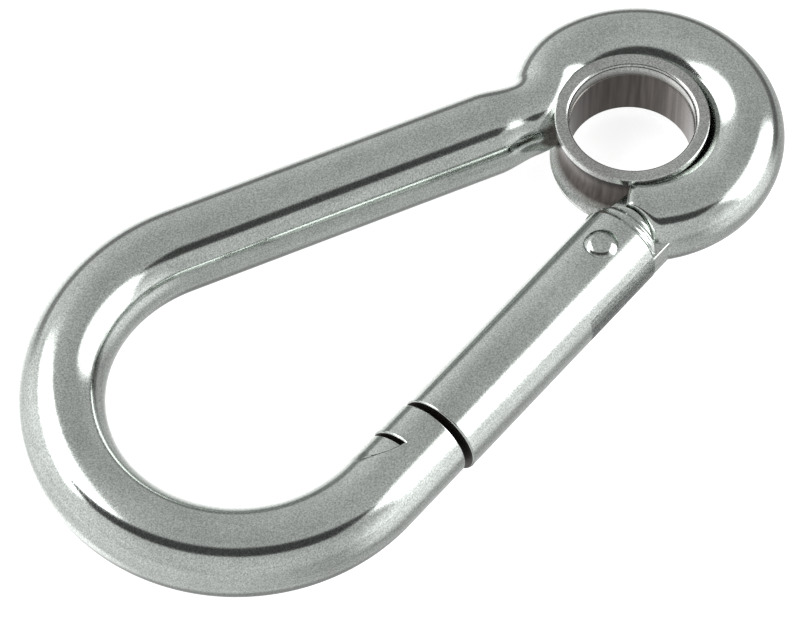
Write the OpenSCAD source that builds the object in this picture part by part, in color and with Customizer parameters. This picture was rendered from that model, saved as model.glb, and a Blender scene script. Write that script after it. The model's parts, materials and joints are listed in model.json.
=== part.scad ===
// Spring snap hook with a captive eyelet: a bent round bar, forged into an eye at one end and
// cut square at its nose, closed by a spring gate that turns on a rivet and opens inwards.
// The hook lies flat. The origin is the centre of the eyelet's bore at half the bar's height,
// +X runs to the bow, +Y to the gate's side, and +Z up along the bore.

/* [Bar] */
// Diameter of the round bar
bar_d = 10; // [9:0.1:12]
// Angle of the spine and of the gate's side, each away from the X axis
side_angle = 13; // [10:0.5:15]
// Distance from the eyelet's axis to the line through the middle of the spine
spine_offset = 7.5; // [7:0.1:9]
// Distance from the eyelet's axis to the line through the middle of the nose
nose_offset = 8.1; // [7.5:0.1:10]

/* [Bow] */
// Bend radius of the bow on the spine's side, at the middle of the bar
bow_r = 21.45; // [19:0.05:26]
// How much tighter the bow is bent on the nose's side
bow_tighter = 1.25; // [0:0.05:2]
// Where the tighter bend starts, as a turn from the end of the spine
bow_split = 88; // [60:1:120]

/* [Eye] */
// Bend radius of the eye, at the middle of the bar
eye_r = 12.85; // [12.7:0.05:14]
// Diameter of the bar where it is forged down to go round the eyelet
eye_bar_d = 8.9; // [8:0.1:9.4]
// How much wider the forging leaves that bar on the side of the eyelet
eye_wider = 0.9; // [0.3:0.05:1]
// How far the eye's centre lies behind the eyelet's axis
eye_back = 1.05; // [0:0.05:1.5]
// Bend radius of the eye where it turns in to the spine
eye_neck_r = 7.6; // [7:0.1:9]
// Direction from the eye's centre at which that tighter bend starts
eye_neck_at = 266; // [250:1:270]
// Radius of the reverse bend between the eye and the spine
throat_r = 5.2; // [5.1:0.05:7]
// Length over which the forged bar grows back to its full diameter
forge_taper = 5; // [3:0.5:10]

/* [Eyelet] */
// Diameter of the eyelet's bore
bore_d = 14.6; // [12:0.1:14.8]
// Wall of the eyelet at its waist
waist_wall = 0.8; // [0.6:0.05:1]
// Radius of the groove that runs round the eyelet's waist
groove_r = 6; // [5.6:0.1:7]
// Diameter of the upper flange
top_flange_d = 18.2; // [17.4:0.1:18.6]
// Diameter of the lower flange
bottom_flange_d = 19; // [18:0.1:19.4]
// Height of the upper rim above the middle of the bar
top_rim = 4.25; // [4:0.05:4.6]
// Depth of the lower rim below the middle of the bar
bottom_rim = 4.5; // [4.2:0.05:4.8]
// Rounding of both lips of the bore
lip_r = 0.55; // [0.3:0.05:0.7]

/* [Gate] */
// Diameter of the gate
gate_d = 10.25; // [9.6:0.05:11]
// How far the gate's axis lies outside the nose's axis
gate_out = 0.4; // [0:0.05:0.5]
// Distance of the hinge rivet from the eyelet, along the gate
pivot_at = 16.8; // [16.5:0.1:19]
// Distance of the nose's square face from the eyelet, along the gate
nose_at = 46.9; // [45:0.1:49]
// Gap between the gate's end and the nose
nose_gap = 0.8; // [0.6:0.05:1.2]
// Length of the gate behind the rivet, to its hinge end
heel_len = 6.4; // [6:0.2:7]
// Length of the turned bevel on the hinge end
bevel_len = 2.5; // [1:0.1:3]
// Depth of that bevel
bevel_depth = 0.75; // [0.3:0.05:1]
// Chamfer of the gate's other end
gate_chamfer = 0.25; // [0.1:0.05:0.5]
// Width of the fork slot
slot_w = 4; // [3:0.1:4.8]
// Length of the fork slot beyond the rivet
slot_len = 7.6; // [7:0.1:9]

/* [Hinge] */
// Diameter of the rivet
rivet_d = 4; // [3:0.1:4.4]
// How far each rivet head stands out of the gate
rivet_proud = 0.2; // [0:0.05:0.4]
// Diameter of the flat on each rivet head
rivet_flat_d = 2.6; // [2:0.1:3]
// Depth of the sloping edge of each rivet head
rivet_edge = 0.55; // [0.2:0.05:0.8]
// Clearance on each side of the tang in the fork slot
tang_side_gap = 0.3; // [0.1:0.05:0.4]
// Radial clearance of the rivet in the tang
rivet_gap = 0.05; // [0.01:0.01:0.1]
// Depth of the tang's outer edge below the gate's surface
tang_sunk = 0.3; // [0.2:0.05:1]
// Length of the tang's finger beyond the rivet
finger_len = 5.4; // [5:0.1:6.5]
// Clearance between that finger and the plunger's bore
finger_gap = 0.1; // [0.05:0.05:0.2]
// Clearance between the gate's hinge end and the shoulder of the eye
heel_gap = 0.3; // [0.2:0.05:0.6]
// Direction from the eye's centre at which its bar ends, next to the gate
eye_end_at = 44; // [40:1:46]

/* [Spring] */
// Diameter of the spring bore
spring_bore_d = 5.2; // [4.3:0.1:5.4]
// Length of the spring bore beyond the rivet, to its flat bottom
spring_bore_len = 21; // [18:0.5:24]
// Radial clearance of the plunger in its bore
plunger_gap = 0.08; // [0.02:0.01:0.1]
// Length of the plunger's head
plunger_head = 3.5; // [3:0.1:5]
// Clearance all round the stem that carries the spring
stem_gap = 0.35; // [0.2:0.05:0.6]
// Length of that stem
stem_len = 5; // [3:0.5:8]
// Wire of the spring
wire_d = 0.6; // [0.4:0.05:0.7]
// Turns of the spring
spring_turns = 8; // [5:1:10]
// Clearance between the spring and the wall of its bore
spring_side_gap = 0.25; // [0.15:0.05:0.4]
// Clearance at each end of the spring
spring_end_gap = 0.05; // [0.02:0.01:0.1]
// Distance of the tang's cam face from the rivet's axis
cam_x = 4.4; // [4.2:0.05:4.8]
// Lever arm of the plunger about the rivet, which is the base radius of the cam's involute
cam_lever = 2; // [1.6:0.1:2.2]
// Clearance between the cam and the plunger
cam_gap = 0.04; // [0.02:0.01:0.1]
// How far the gate opens
open_angle = 30; // [20:1:32]
// How far the cam's curve runs on past that
spare_angle = 3; // [1:1:5]

/* [Latch] */
// Distance from the nose's face back to the latch's shoulder
latch_back = 4.6; // [4:0.1:6]
// Clearance between that shoulder and the gate's hooked head
latch_gap = 0.6; // [0.5:0.05:0.9]
// Radius of the rounded floor of the latch pocket
pocket_r = 7.4; // [7:0.1:9]
// Distance from the shoulder back to the middle of that arc
pocket_lead = 1.65; // [1:0.05:2.5]
// How far the pocket's floor at the shoulder stays short of the nose's axis
pocket_short = 0; // [0:0.05:1]
// Clearance between the pocket and the head
pocket_gap = 0.12; // [0.1:0.01:0.2]
// Width of the slot in the nose
nose_slot_w = 3.2; // [2.6:0.1:4]
// Clearance on each side of the gate's tongue in that slot
tongue_side_gap = 0.25; // [0.2:0.05:0.4]
// Depth of the tongue's inner edge below the nose's surface
tongue_sunk = 0.6; // [0.4:0.05:1]

/* [Hidden] */
$fn = 96;

STEEL = "silver";
SPRING_STEEL = "dimgray";

// A short overlap that makes cutters run past the faces they cut
past = 1;
// How deep a united piece is sunk into the one that it grows out of
sunk = 0.3;
// Each stretch of bar runs this far on into the next one, and is a hair thinner than it
lap = 0.3;
hair = 0.04;

bar_r = bar_d / 2;
eye_bar_r = eye_bar_d / 2;
gate_r = gate_d / 2;

// Unit vectors along the spine and the gate's side, away from the eyelet, and square to them, outwards
spine_dir = [cos(side_angle), -sin(side_angle)];
spine_out = [-sin(side_angle), -cos(side_angle)];
gate_dir = [cos(side_angle), sin(side_angle)];
gate_outward = [-sin(side_angle), cos(side_angle)];
function towards(angle) = [cos(angle), sin(angle)];
function angle_of(v) = atan2(v.y, v.x);

// Bow: one arc that touches the spine's line, and a tighter one that touches the nose's line
nose_bow_r = bow_r - bow_tighter;
bow_start_at = angle_of(spine_out);
bow_split_at = bow_start_at + bow_split;
bow_end_at = angle_of(gate_outward);
bow_shift = bow_tighter * towards(bow_split_at);
bow_sum = spine_offset - bow_r + nose_offset - nose_bow_r
        + bow_shift.x * sin(side_angle) - bow_shift.y * cos(side_angle);
bow_x = -bow_sum / (2 * sin(side_angle));
bow_y = (bow_r - spine_offset - bow_x * sin(side_angle)) / cos(side_angle);
bow_centre = [bow_x, bow_y];
nose_bow_centre = bow_centre + bow_shift;
spine_end = bow_centre + bow_r * spine_out;
nose_root = nose_bow_centre + nose_bow_r * gate_outward;

// Eye: a wide arc, a tighter one that turns in to the spine, and a reverse bend
eye_centre = [-eye_back, 0];
neck_centre = eye_centre + (eye_r - eye_neck_r) * towards(eye_neck_at);
throat_out = spine_offset - neck_centre * spine_out + throat_r;
throat_along = sqrt(pow(eye_neck_r + throat_r, 2) - pow(throat_out, 2));
throat_centre = neck_centre + throat_out * spine_out + throat_along * spine_dir;
neck_end_at = 360 + angle_of(throat_centre - neck_centre);
spine_start = throat_centre - throat_r * spine_out;
throat_to = neck_end_at - 180;

// Gate side, measured along the gate from the foot of the eyelet's axis and across from the rivet
pivot_offset = nose_offset + gate_out;
pivot = pivot_at * gate_dir + pivot_offset * gate_outward;
gate_end = nose_at - nose_gap - pivot_at;
nose_face = nose_at - pivot_at;
latch_x = nose_face + latch_back;
nose_end = nose_root * gate_dir - pivot_at;
shoulder_r = heel_len + heel_gap;
pocket_x = latch_x - pocket_lead;
pocket_y = -gate_out - pocket_short - sqrt(pow(pocket_r, 2) - pow(pocket_lead, 2));

// Hinge
rivet_r = rivet_d / 2;
tang_w = slot_w - 2 * tang_side_gap;
tang_out = gate_r - tang_sunk;
spring_bore_r = spring_bore_d / 2;
plunger_r = spring_bore_r - plunger_gap;
finger_in = spring_bore_r + finger_gap;
finger_r = (tang_out - finger_in) / 2;
root_in = 3.3;
root_len = 2.5;
coil_r = spring_bore_r - spring_side_gap - wire_d / 2;
stem_r = coil_r - wire_d / 2 - stem_gap;
plunger_back = cam_x + plunger_head;

// Eyelet
bore_r = bore_d / 2;
waist_r = bore_r + waist_wall;
eyelet_gap = 0.03;

// Draws its children in the gate's own place: rivet at the origin, +X to the nose, +Y outwards
module on_gate() {
    translate([pivot.x, pivot.y, 0]) rotate([0, 0, side_angle]) children();
}

// A straight bar between two points of the XY plane, whose radius may change on the way
module bar(from, to, r, r_end) {
    way = to - from;
    translate([from.x, from.y, 0])
        rotate([0, 0, angle_of(way)])
            rotate([0, 90, 0])
                cylinder(h = norm(way), r1 = r, r2 = r_end);
}

// A bent bar, whose middle runs round a centre from one direction to another. A forged bend is wider
// on its inner side, where a second round overlaps the first.
module bend(centre, bend_r, r, start_at, end_at, wider = 0) {
    translate([centre.x, centre.y, 0])
        rotate([0, 0, start_at])
            rotate_extrude(angle = end_at - start_at) {
                translate([bend_r, 0]) circle(r);
                if (wider > 0) translate([bend_r - wider, 0]) circle(r);
            }
}
function lap_turn(bend_r) = lap / bend_r * 180 / PI;

// A turned solid on the gate's axis, from a list of [distance along the axis, radius]
module turned(profile) {
    ends = [[profile[len(profile) - 1].x, 0], [profile[0].x, 0]];
    rotate([0, 90, 0]) rotate([0, 0, 90])
        rotate_extrude() polygon([for (p = concat(profile, ends)) [p.y, p.x]]);
}

// Outline of the eyelet's wall, grown outwards by a gap
module eyelet_outline(gap) {
    difference() {
        union() {
            translate([bore_r, 0])
                square([top_flange_d / 2 - bore_r + gap, top_rim + gap]);
            translate([bore_r, -bottom_rim - gap])
                square([bottom_flange_d / 2 - bore_r + gap, bottom_rim + gap]);
        }
        translate([waist_r + groove_r, 0]) circle(groove_r - gap);
    }
}

// What the rounding of one lip takes off: a square corner without its quarter circle
module lip_corner() {
    difference() {
        translate([-past, -lip_r]) square([past + lip_r, past + lip_r]);
        translate([lip_r, -lip_r]) circle(lip_r);
    }
}

// Outline of the latch pocket seen from above, from its shoulder to its rounded floor of radius r
module pocket_outline(shoulder, r) {
    intersection() {
        translate([pocket_x, pocket_y]) circle(r);
        translate([shoulder, pocket_y - pocket_r]) square(2 * pocket_r);
    }
}

// Outline of the tang: root, boss round the rivet, finger, and the cam that pushes the plunger.
// The cam's curve is the involute of a circle round the rivet, so that the push is even.
module tang_outline() {
    face = cam_x - cam_gap;
    steps = 12;
    involute = [for (i = [0:steps]) let (
        a = (open_angle + spare_angle) * i / steps,
        reach = face + cam_lever * a * PI / 180
    ) [reach * cos(a) - cam_lever * sin(a), -reach * sin(a) - cam_lever * cos(a)]];
    polygon(concat(
        [[-shoulder_r - root_len, tang_out], [finger_len - finger_r, tang_out]],
        [[finger_len - finger_r, finger_in], [face, finger_in]],
        involute,
        [[0, involute[steps].y], [-shoulder_r - root_len, -root_in]]
    ));
    translate([finger_len - finger_r, tang_out - finger_r]) circle(finger_r);
}

module body() color(STEEL) difference() {
    union() {
        bend(bow_centre, bow_r, bar_r, bow_start_at, bow_split_at);
        nose();
        spine();
        throat();
        eye_end();
    }
    seat();
    on_gate() latch_pocket();
    on_gate() translate([0, 0, -tang_w]) cylinder(h = 2 * tang_w, r = rivet_r + rivet_gap);
}

// The tighter half of the bow and the straight nose after it
module nose() {
    bend(nose_bow_centre, nose_bow_r, bar_r - hair, bow_split_at - lap_turn(nose_bow_r), bow_end_at);
    on_gate() translate([0, -gate_out, 0])
        turned([[nose_face, bar_r - 2 * hair], [nose_end + lap, bar_r - 2 * hair]]);
}

// The straight spine, with the taper that the forging of the eye leaves on it
module spine() {
    taper_end = spine_start + forge_taper * spine_dir;
    bar(taper_end - lap * spine_dir, spine_end + lap * spine_dir, bar_r - hair, bar_r - hair);
    bar(spine_start - lap * spine_dir, taper_end, eye_bar_r - 3 * hair, bar_r);
}

// The reverse bend from the spine into the eye, and the tighter end of the eye
module throat() {
    throat_from = angle_of(spine_start - throat_centre);
    bend(throat_centre, throat_r, eye_bar_r - 2 * hair, throat_from, throat_to + lap_turn(throat_r));
    neck_from = eye_neck_at - lap_turn(eye_neck_r);
    bend(neck_centre, eye_neck_r, eye_bar_r - hair, neck_from, neck_end_at, eye_wider);
}

// The wide arc of the eye, hollowed round the gate's hinge end, with the tang that grows out of it
module eye_end() {
    difference() {
        bend(eye_centre, eye_r, eye_bar_r, eye_end_at, eye_neck_at, eye_wider);
        on_gate() for (side = [0, 1]) mirror([0, 0, side])
            translate([0, 0, tang_w / 2]) cylinder(h = bar_d, r = shoulder_r);
        on_gate() translate([0, 0, -bar_d]) cylinder(h = 2 * bar_d, r = shoulder_r - past);
    }
    on_gate() translate([0, 0, -tang_w / 2]) linear_extrude(tang_w) tang_outline();
}

// Seat that the eyelet's waist and flanges take in the eye
module seat() {
    rotate_extrude() {
        eyelet_outline(eyelet_gap);
        translate([0, -bar_d]) square([bore_r + eyelet_gap, 2 * bar_d]);
    }
}

// Slot for the gate's tongue and pocket for its head, both open to the inside of the hook
module latch_pocket() {
    translate([nose_face - past, -gate_out - bar_d, -nose_slot_w / 2])
        cube([latch_back + 2 * past, bar_d - pocket_short, nose_slot_w]);
    translate([0, 0, -bar_d]) linear_extrude(2 * bar_d) pocket_outline(latch_x, pocket_r);
}

module eyelet() color(STEEL) rotate_extrude() difference() {
    eyelet_outline(0);
    translate([bore_r, top_rim]) lip_corner();
    translate([bore_r, -bottom_rim]) mirror([0, 1]) lip_corner();
}

module gate() color(STEEL) on_gate() difference() {
    union() {
        turned([
            [-heel_len - past, gate_r - bevel_depth * (1 + past / bevel_len)],
            [-heel_len + bevel_len, gate_r],
            [gate_end - gate_chamfer, gate_r],
            [gate_end, gate_r - gate_chamfer]
        ]);
        tongue();
    }
    fork_slot();
    heel_relief();
    turned([[-heel_len - 2 * past, spring_bore_r], [spring_bore_len, spring_bore_r]]);
    translate([0, 0, -gate_d]) cylinder(h = 2 * gate_d, r = rivet_r);
}

// Slot between the gate's two cheeks, open to both sides
module fork_slot() {
    translate([-heel_len - 2 * past, -gate_d, -slot_w / 2])
        cube([heel_len + 2 * past + slot_len, 2 * gate_d, slot_w]);
}

// Rounds the hinge end to an arc about the rivet, so that it clears the eye as the gate swings
module heel_relief() {
    difference() {
        translate([-heel_len - 2 * past, -gate_d, -gate_d])
            cube([heel_len + 2 * past, 2 * gate_d, 2 * gate_d]);
        translate([0, 0, -2 * gate_d]) cylinder(h = 4 * gate_d, r = heel_len);
    }
}

// Tongue on the gate's end, with a hooked head that fills the latch pocket
module tongue() {
    tongue_w = nose_slot_w - 2 * tongue_side_gap;
    head_x = latch_x + latch_gap;
    inner = bar_r - tongue_sunk;
    translate([gate_end - sunk, -gate_out - inner, -tongue_w / 2])
        cube([head_x - gate_end + 2 * sunk, inner - pocket_short - pocket_gap, tongue_w]);
    intersection() {
        translate([0, -gate_out, 0]) turned([[head_x, bar_r], [head_x + pocket_r, bar_r]]);
        translate([0, 0, -bar_d]) linear_extrude(2 * bar_d) pocket_outline(head_x, pocket_r - pocket_gap);
    }
}

module hinge_rivet() color(STEEL) on_gate() {
    top = gate_r + rivet_proud;
    rotate_extrude() polygon([
        [0, -top], [rivet_flat_d / 2, -top], [rivet_r, -top + rivet_edge],
        [rivet_r, top - rivet_edge], [rivet_flat_d / 2, top], [0, top]
    ]);
}

// Plunger: a flat-faced head that slides in the bore, and a stem inside the spring
module spring_plunger() color(SPRING_STEEL) on_gate() turned([
    [cam_x, plunger_r], [plunger_back, plunger_r],
    [plunger_back, stem_r], [plunger_back + stem_len, stem_r]
]);

// Round wire wound into a helix between the plunger's head and the bottom of the bore
module gate_spring() color(SPRING_STEEL) on_gate() {
    sides = 6;
    steps = 14;
    rings = spring_turns * steps;
    first = plunger_back + wire_d / 2 + spring_end_gap;
    last = spring_bore_len - wire_d / 2 - spring_end_gap;
    points = [for (i = [0:rings]) for (j = [0:sides - 1]) let (
        turn = 360 * i / steps,
        out = coil_r + wire_d / 2 * cos(360 * j / sides),
        along = first + (last - first) * i / rings + wire_d / 2 * sin(360 * j / sides)
    ) [along, out * cos(turn), out * sin(turn)]];
    walls = [for (i = [0:rings - 1]) for (j = [0:sides - 1]) let (k = (j + 1) % sides)
        [i * sides + j, i * sides + k, (i + 1) * sides + k, (i + 1) * sides + j]];
    start = [for (j = [sides - 1:-1:0]) j];
    end = [for (j = [0:sides - 1]) rings * sides + j];
    polyhedron(points, concat([start], walls, [end]));
}

body();
eyelet();
gate();
hinge_rivet();
gate_spring();
spring_plunger();
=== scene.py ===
import json
import math

import bmesh
import bpy
import numpy as np
from mathutils import Euler, Matrix, Vector


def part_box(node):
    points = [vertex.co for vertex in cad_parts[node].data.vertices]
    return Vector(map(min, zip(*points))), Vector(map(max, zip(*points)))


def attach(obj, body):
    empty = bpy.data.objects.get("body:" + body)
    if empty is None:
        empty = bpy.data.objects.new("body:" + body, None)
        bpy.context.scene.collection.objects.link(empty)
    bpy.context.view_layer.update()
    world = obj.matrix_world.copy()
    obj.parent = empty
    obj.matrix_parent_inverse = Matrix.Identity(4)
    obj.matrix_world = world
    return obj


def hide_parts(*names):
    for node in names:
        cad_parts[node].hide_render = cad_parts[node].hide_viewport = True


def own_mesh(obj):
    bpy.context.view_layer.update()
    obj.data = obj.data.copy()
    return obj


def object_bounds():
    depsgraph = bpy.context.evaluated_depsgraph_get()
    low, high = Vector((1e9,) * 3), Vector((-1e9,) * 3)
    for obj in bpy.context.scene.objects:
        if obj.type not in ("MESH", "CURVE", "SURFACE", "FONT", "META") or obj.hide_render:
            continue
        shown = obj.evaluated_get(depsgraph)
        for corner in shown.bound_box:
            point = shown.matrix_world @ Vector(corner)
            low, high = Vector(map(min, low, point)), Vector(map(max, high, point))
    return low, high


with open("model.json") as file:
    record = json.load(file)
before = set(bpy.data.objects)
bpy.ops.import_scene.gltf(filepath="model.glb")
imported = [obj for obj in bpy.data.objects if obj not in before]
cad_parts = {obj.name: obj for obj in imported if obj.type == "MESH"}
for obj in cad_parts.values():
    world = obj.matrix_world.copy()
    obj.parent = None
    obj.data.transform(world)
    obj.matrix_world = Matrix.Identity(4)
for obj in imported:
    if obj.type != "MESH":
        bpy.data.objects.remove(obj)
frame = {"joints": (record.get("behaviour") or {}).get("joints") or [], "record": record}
cad_low, cad_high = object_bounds()

# ---------------------------------------------------------------------------------------------
# Camera
# A long lens looks down on the hook from behind its gate, so that the eye comes out top right.
# ---------------------------------------------------------------------------------------------
LOOK_AT = (0.0367, 0.0032, 0.0)
VIEW_AZIMUTH = 143.16
VIEW_ELEVATION = 57.30
VIEW_ROLL = -0.64
VIEW_DISTANCE = 0.518
FOCAL_LENGTH = 202.9
SENSOR_WIDTH = 36.0
NEAREST_SEEN = 0.01

camera_data = bpy.data.cameras.new("camera")
camera_data.lens = FOCAL_LENGTH
camera_data.sensor_width = SENSOR_WIDTH
camera_data.clip_start = NEAREST_SEEN
camera = bpy.data.objects.new("camera", camera_data)
bpy.context.scene.collection.objects.link(camera)
camera.rotation_euler = (
    Euler((math.radians(90 - VIEW_ELEVATION), 0, math.radians(VIEW_AZIMUTH))).to_matrix()
    @ Matrix.Rotation(math.radians(VIEW_ROLL), 3, "Z")
).to_euler()
camera.location = Vector(LOOK_AT) + camera.rotation_euler.to_matrix() @ Vector((0, 0, VIEW_DISTANCE))
bpy.context.scene.camera = camera

# ---------------------------------------------------------------------------------------------
# Bent bar
# One length of 10 mm round bar: eye, spine, bow and nose, bent cold after the eye's end has been
# forged down to 8.9 mm. Its tang and latch are milled, and all of it is tumble polished.
# ---------------------------------------------------------------------------------------------
BAR_R = 5.0
EYE_BAR_R = 4.45
EYE_WIDER = 0.95
SIDE_ANGLE = math.radians(13)
SPINE_OFFSET = 7.5
NOSE_OFFSET = 8.1
BOW_R = 21.45
BOW_TIGHTER = 1.25
BOW_SPLIT = math.radians(88)
EYE_CENTRE = np.array([-1.05, 0.0])
EYE_R = 12.85
EYE_END_AT = math.radians(44)
NECK_R = 7.6
NECK_AT = math.radians(266)
THROAT_R = 5.2
FORGE_TAPER = 5.0
NOSE_AT = 46.9
NOSE_EDGE = 0.18
SHOULDER_EDGE = 1.2
AROUND = 128
TAPER_RINGS = 12
EDGE_RINGS = 5
BEND_STEP = math.radians(1.5)
SHARP_FROM = math.radians(32)

MM = 0.001
joints = {joint["name"]: joint for joint in frame["joints"]}
hinge_at = np.array(joints["gate_hinge"]["pos_m"][:2]) / MM
gate_dir = np.array(joints["plunger_slide"]["axis"][:2])
gate_out_dir = np.array([-gate_dir[1], gate_dir[0]])
gate_place = Matrix.Translation((*hinge_at, 0)) @ Matrix.Rotation(SIDE_ANGLE, 4, "Z")
spine_dir = np.array([math.cos(SIDE_ANGLE), -math.sin(SIDE_ANGLE)])
spine_out = np.array([-math.sin(SIDE_ANGLE), -math.cos(SIDE_ANGLE)])


def towards(angle):
    """Unit vectors of the XY plane at these angles, as rows."""
    return np.stack([np.cos(angle), np.sin(angle)], axis=-1)


def angle_of(vector):
    """Angle of a vector of the XY plane."""
    return math.atan2(vector[1], vector[0])


def new_piece(name, points, faces):
    """A closed mesh object, in millimetres, from points and faces of point numbers."""
    mesh = bpy.data.meshes.new(name)
    mesh.from_pydata(np.asarray(points, float).tolist(), [], faces)
    work = bmesh.new()
    work.from_mesh(mesh)
    bmesh.ops.remove_doubles(work, verts=work.verts, dist=1e-5)
    bmesh.ops.dissolve_degenerate(work, edges=work.edges, dist=1e-5)
    bmesh.ops.recalc_face_normals(work, faces=work.faces)
    work.to_mesh(mesh)
    work.free()
    piece = bpy.data.objects.new(name, mesh)
    bpy.context.scene.collection.objects.link(piece)
    return piece


def skin(name, rings):
    """Skins rings of points, given as (ring, point, xyz), into a closed solid with a flat face at each
    end."""
    count, around = rings.shape[:2]
    number = np.arange(count * around).reshape(count, around)
    here, ahead = number[:-1], number[1:]
    walls = np.stack([here, ahead, np.roll(ahead, -1, 1), np.roll(here, -1, 1)], axis=-1)
    faces = walls.reshape(-1, 4).tolist() + [number[0][::-1].tolist(), number[-1].tolist()]
    return new_piece(name, rings.reshape(-1, 3), faces)


def prism(name, outline, low, high, place=None):
    """Stands an outline of the XY plane up into a solid between two heights, and puts it in its place."""
    outline = np.asarray(outline, float)
    rings = np.stack([np.c_[outline, np.full(len(outline), z)] for z in (low, high)])
    piece = skin(name, rings)
    if place:
        piece.data.transform(place)
    return piece


def carve(piece, tool, operation="DIFFERENCE"):
    """Takes a tool's solid away from a piece, or joins it on, and throws the tool away."""
    change = piece.modifiers.new("carve", "BOOLEAN")
    change.object = tool
    change.operation = operation
    change.solver = "MANIFOLD"
    solid = piece.evaluated_get(bpy.context.evaluated_depsgraph_get())
    carved = bpy.data.meshes.new_from_object(solid)
    piece.modifiers.clear()
    piece.data = carved
    bpy.data.objects.remove(tool)


def finish_metal(piece, material, body, slot, *nodes):
    """Brings a piece to metres, smooths its curved faces, gives it its material, hangs it from its body's
    empty and hides the nodes that it replaces. The slot is not used.
    """
    piece.data.transform(Matrix.Scale(MM, 4))
    piece.data.name = piece.name
    piece.data.materials.clear()
    piece.data.materials.append(material)
    piece.data.shade_smooth()
    piece.data.set_sharp_from_angle(angle=SHARP_FROM)
    weight = piece.modifiers.new("even normals", "WEIGHTED_NORMAL")
    weight.keep_sharp = True
    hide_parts(*nodes)
    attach(piece, body)


def arc_path(centre, radius, start, end):
    """Points of an arc's middle line, and the heading at each of them, a small step apart."""
    steps = max(2, math.ceil(abs(end - start) / BEND_STEP))
    angle = np.linspace(start, end, steps + 1)
    return centre + radius * towards(angle), angle + math.copysign(math.pi / 2, end - start)


# The bow is one arc that touches the spine's line and a tighter one that touches the nose's line
nose_bow_r = BOW_R - BOW_TIGHTER
bow_from = angle_of(spine_out)
bow_split_at = bow_from + BOW_SPLIT
bow_to = angle_of(gate_out_dir)
bow_shift = BOW_TIGHTER * towards(bow_split_at)
bow_sum = SPINE_OFFSET - BOW_R + NOSE_OFFSET - nose_bow_r
bow_sum += bow_shift[0] * math.sin(SIDE_ANGLE) - bow_shift[1] * math.cos(SIDE_ANGLE)
bow_x = -bow_sum / (2 * math.sin(SIDE_ANGLE))
bow_y = (BOW_R - SPINE_OFFSET - bow_x * math.sin(SIDE_ANGLE)) / math.cos(SIDE_ANGLE)
bow_centre = np.array([bow_x, bow_y])

# The eye turns in to the spine with a tighter bend and a reverse one
neck_centre = EYE_CENTRE + (EYE_R - NECK_R) * towards(NECK_AT)
throat_out = SPINE_OFFSET - neck_centre @ spine_out + THROAT_R
throat_along = math.sqrt((NECK_R + THROAT_R) ** 2 - throat_out**2)
throat_centre = neck_centre + throat_out * spine_out + throat_along * spine_dir
neck_to = 2 * math.pi + angle_of(throat_centre - neck_centre)
spine_start = throat_centre - THROAT_R * spine_out

# The shoulder is hollowed to an arc about the rivet, a small gap away from the gate's hinge end. The
# eye's own section starts again at EYE_FULL_AT, after a run of rings that lean over from the shoulder.
HEEL_LEN = 6.4
HEEL_GAP = 0.3
EYE_FULL_AT = math.radians(72)
CENTRE_SHARES = (0.02, 0.5)
CORNER_RINGS = 7
LEAN_RINGS = 17
shoulder_r = HEEL_LEN + HEEL_GAP
to_rivet = hinge_at - EYE_CENTRE
rivet_reach = np.linalg.norm(to_rivet)


def eye_end_rings():
    """Rings of the eye's end: the bar's section, stopped at the shoulder's arc or at its own square end,
    whichever comes first, and carried over a rounded edge to the middle of the end face."""
    around = np.linspace(0, 2 * math.pi, AROUND, endpoint=False)
    out = EYE_R + EYE_BAR_R * np.cos(around) + EYE_WIDER * np.minimum(np.cos(around), 0)
    up = EYE_BAR_R * np.sin(around)
    meet = (out**2 + rivet_reach**2 - shoulder_r**2) / (2 * out * rivet_reach)
    end_at = np.maximum(angle_of(to_rivet) + np.arccos(np.clip(meet, -1, 1)), EYE_END_AT)
    middle_out = rivet_reach - shoulder_r

    def on_bar(angle):
        return np.c_[EYE_CENTRE + out[:, None] * towards(angle), up]

    corner = on_bar(end_at)
    before = on_bar(end_at + SHOULDER_EDGE / out)
    middle = np.array([*(EYE_CENTRE + middle_out * towards(EYE_END_AT)), 0])
    inward = middle - corner
    after = corner + inward * (SHOULDER_EDGE / np.linalg.norm(inward, axis=1))[:, None]
    rings = [middle + (after - middle) * share for share in CENTRE_SHARES]
    for t in np.linspace(1, 0, CORNER_RINGS):
        rings.append((1 - t) ** 2 * before + 2 * t * (1 - t) * corner + t**2 * after)
    for share in np.linspace(0, 1, LEAN_RINGS + 1)[1:]:
        rings.append(on_bar((end_at + SHOULDER_EDGE / out) * (1 - share) + EYE_FULL_AT * share))
    return np.stack(rings)


def ease(share):
    """A share from 0 to 1, made to start and end slowly."""
    return share**2 * (3 - 2 * share)


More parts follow.
